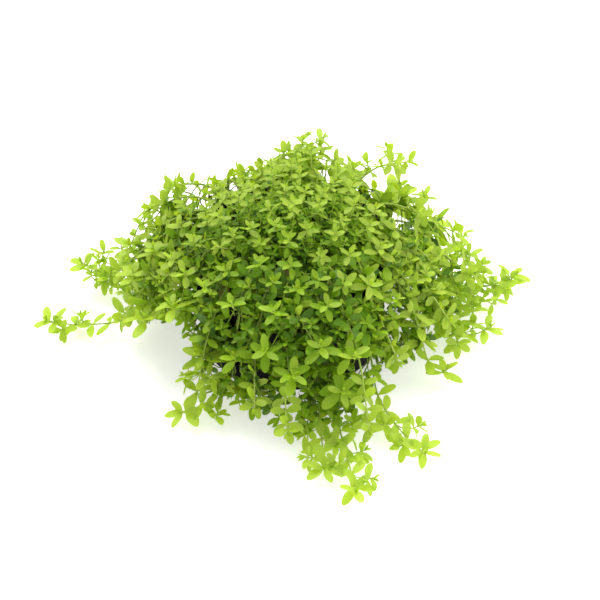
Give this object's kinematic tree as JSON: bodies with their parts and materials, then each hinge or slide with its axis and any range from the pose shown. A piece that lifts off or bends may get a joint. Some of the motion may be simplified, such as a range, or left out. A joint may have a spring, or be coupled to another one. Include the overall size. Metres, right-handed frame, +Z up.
{
  "type": "potted aquarium plant",
  "caption": "Low mound of tiny-leaved aquarium stem plant spilling over the rim of a short black mesh pot, its outer stems trailing on the table.",
  "frame": {"origin": "middle of the pot's underside, on the table", "axes": "+Z up along the pot's axis, -Y towards the front of the plant, where its longest stems trail, +X to the right as seen from the front"},
  "size_m": [0.128, 0.1136, 0.052],
  "materials": {
    "pot": "satin",
    "wool_plug": "matte",
    "shoots": "satin"
  },
  "bodies": {
    "root": {"hanging_shoot_01": "shoots", "hanging_shoot_02": "shoots", "hanging_shoot_03": "shoots", "hanging_shoot_04": "shoots", "hanging_shoot_05": "shoots", "hanging_shoot_06": "shoots", "hanging_shoot_07": "shoots", "hanging_shoot_08": "shoots", "hanging_shoot_09": "shoots", "hanging_shoot_10": "shoots", "hanging_shoot_11": "shoots", "hanging_shoot_12": "shoots", "hanging_shoot_13": "shoots", "hanging_shoot_14": "shoots", "leaning_shoot_01": "shoots", "leaning_shoot_02": "shoots", "leaning_shoot_03": "shoots", "leaning_shoot_04": "shoots", "leaning_shoot_05": "shoots", "leaning_shoot_06": "shoots", "leaning_shoot_07": "shoots", "leaning_shoot_08": "shoots", "leaning_shoot_09": "shoots", "leaning_shoot_10": "shoots", "leaning_shoot_11": "shoots", "leaning_shoot_12": "shoots", "leaning_shoot_13": "shoots", "leaning_shoot_14": "shoots", "leaning_shoot_15": "shoots", "leaning_shoot_16": "shoots", "leaning_shoot_17": "shoots", "leaning_shoot_18": "shoots", "pot": "pot", "trailing_shoot_01": "shoots", "trailing_shoot_02": "shoots", "trailing_shoot_03": "shoots", "trailing_shoot_04": "shoots", "trailing_shoot_05": "shoots", "trailing_shoot_06": "shoots", "trailing_shoot_07": "shoots", "trailing_shoot_08": "shoots", "trailing_shoot_09": "shoots", "upright_shoot_01": "shoots", "upright_shoot_02": "shoots", "upright_shoot_03": "shoots", "upright_shoot_04": "shoots", "upright_shoot_05": "shoots", "upright_shoot_06": "shoots", "upright_shoot_07": "shoots", "upright_shoot_08": "shoots", "upright_shoot_09": "shoots", "upright_shoot_10": "shoots", "upright_shoot_11": "shoots", "upright_shoot_12": "shoots", "wool_plug": "wool_plug"}
  },
  "joints": []
}
